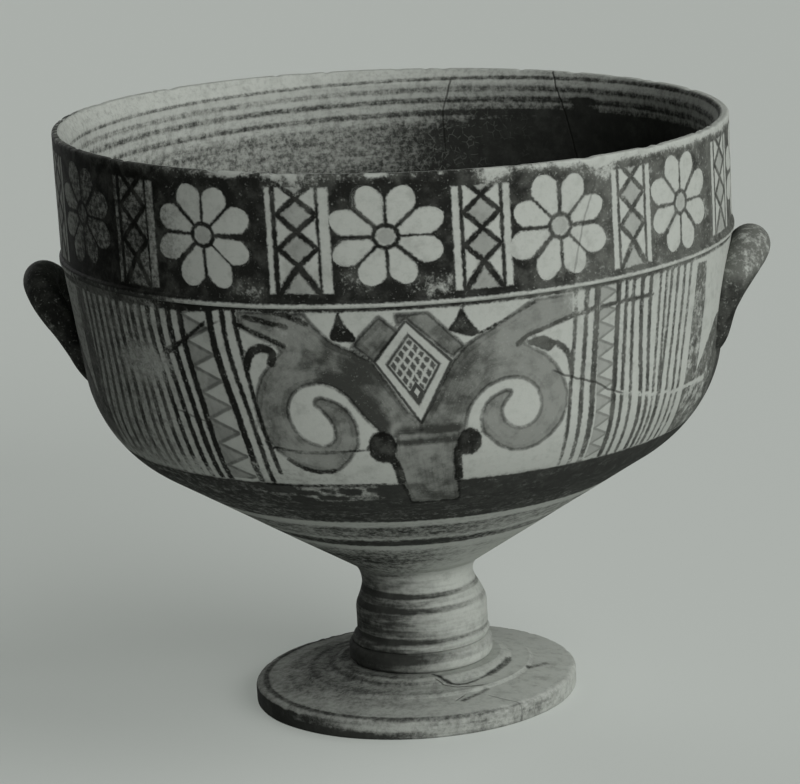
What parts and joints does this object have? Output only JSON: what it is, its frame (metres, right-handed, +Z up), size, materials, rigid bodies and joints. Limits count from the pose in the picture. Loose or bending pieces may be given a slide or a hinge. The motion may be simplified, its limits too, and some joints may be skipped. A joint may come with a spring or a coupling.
{
  "type": "stemmed cup",
  "caption": "Stemmed clay cup with a wide carinated bowl, an upright painted wall, loop handles on its sides, a hollow stem and a stepped disc foot.",
  "frame": {"origin": "centre of the foot's underside, on the table", "axes": "+Z up along the stem, X through the handles, -Y towards the side with the painted panel"},
  "size_m": [0.2238, 0.201, 0.177],
  "materials": {
    "painted_clay": "matte",
    "plain_clay": "matte"
  },
  "bodies": {
    "root": {"lower_bowl": "painted_clay", "upper_wall": "painted_clay", "handle_right": "painted_clay", "handle_left": "painted_clay", "foot": "plain_clay", "base_ring": "plain_clay", "stem": "plain_clay", "neck_collar": "plain_clay"}
  },
  "joints": []
}
